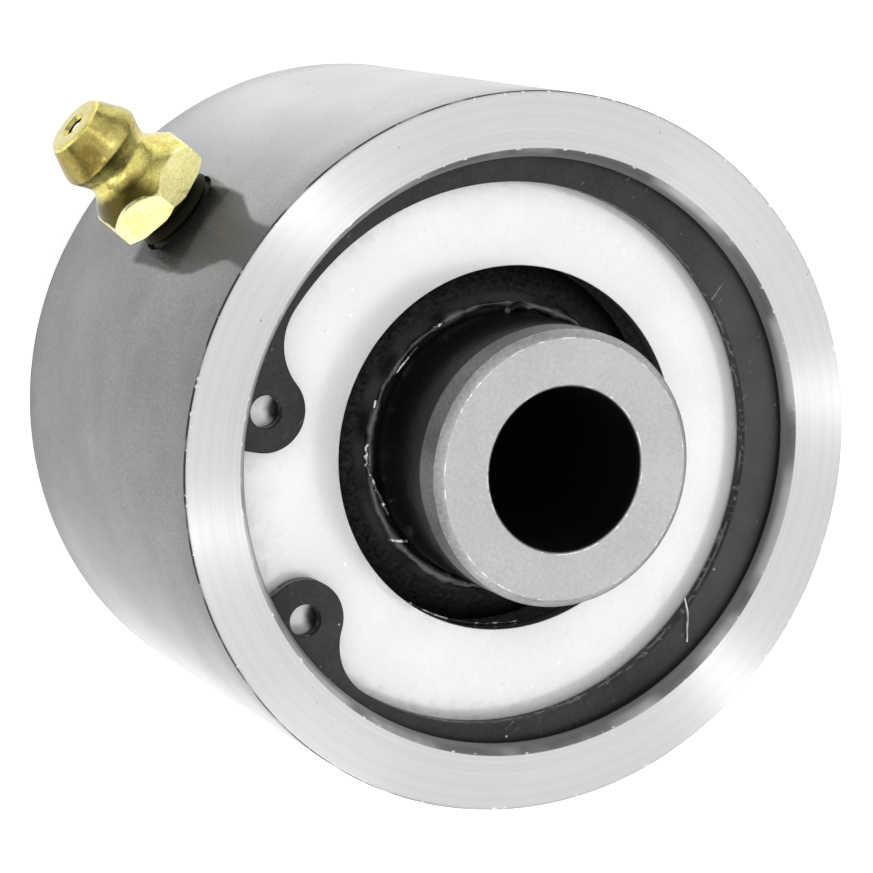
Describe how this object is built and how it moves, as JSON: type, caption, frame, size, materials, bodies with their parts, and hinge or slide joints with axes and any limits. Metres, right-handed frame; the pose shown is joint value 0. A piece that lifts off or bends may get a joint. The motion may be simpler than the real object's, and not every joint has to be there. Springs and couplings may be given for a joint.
{
  "type": "rebuildable spherical suspension joint",
  "caption": "Weld-on steel housing holding a centre ball with sleeve ends in moulded races, kept by a washer and snap ring, with a side grease nipple.",
  "frame": {"origin": "centre of the ball, midway along the housing and the bolt bore", "axes": "+Z along the bolt bore towards the snap ring, -Y towards the grease nipple, at rest with the ball not tilted"},
  "size_m": [0.0508, 0.0607, 0.0466],
  "materials": {
    "turned_steel": "fine turned steel, oiled, satin",
    "zinc_plate": "bright zinc plate, faintly mottled",
    "black_oxide": "phosphated and oiled spring steel",
    "black_urethane": "moulded, greased",
    "dark_grease": "wet and glossy",
    "yellow_zinc": "yellow zinc plate, satin, darker in the grooves",
    "bright_steel": "bright"
  },
  "bodies": {
    "housing": {"housing": "turned_steel", "front_washer": "zinc_plate", "rear_washer": "zinc_plate", "snap_ring": "black_oxide", "grease_nipple": "yellow_zinc", "nipple_spring": "bright_steel"},
    "races": {"front_race": "black_urethane", "rear_race": "black_urethane"},
    "grease": {"front_grease_bead": "dark_grease", "rear_grease_bead": "dark_grease"},
    "ball": {"centre_ball": "turned_steel"},
    "check_ball": {"nipple_check_ball": "bright_steel"}
  },
  "joints": [
    {"name": "race_turn", "type": "hinge", "parent": "housing", "child": "races", "pos_m": [0, 0, 0], "axis": [0, 0, 1], "continuous": true},
    {"name": "ball_tilt", "type": "hinge", "parent": "races", "child": "grease", "pos_m": [0, 0, 0], "axis": [1, 0, 0], "range_deg": [-12, 12]},
    {"name": "ball_spin", "type": "hinge", "parent": "grease", "child": "ball", "pos_m": [0, 0, 0], "axis": [0, 0, 1], "continuous": true},
    {"name": "check_valve", "type": "slide", "parent": "housing", "child": "check_ball", "axis": [0, 1, 0], "range_m": [0, 0.001], "stiffness_N_per_m": 300, "springref_m": -0.0005, "deforming": ["nipple_spring"]}
  ]
}
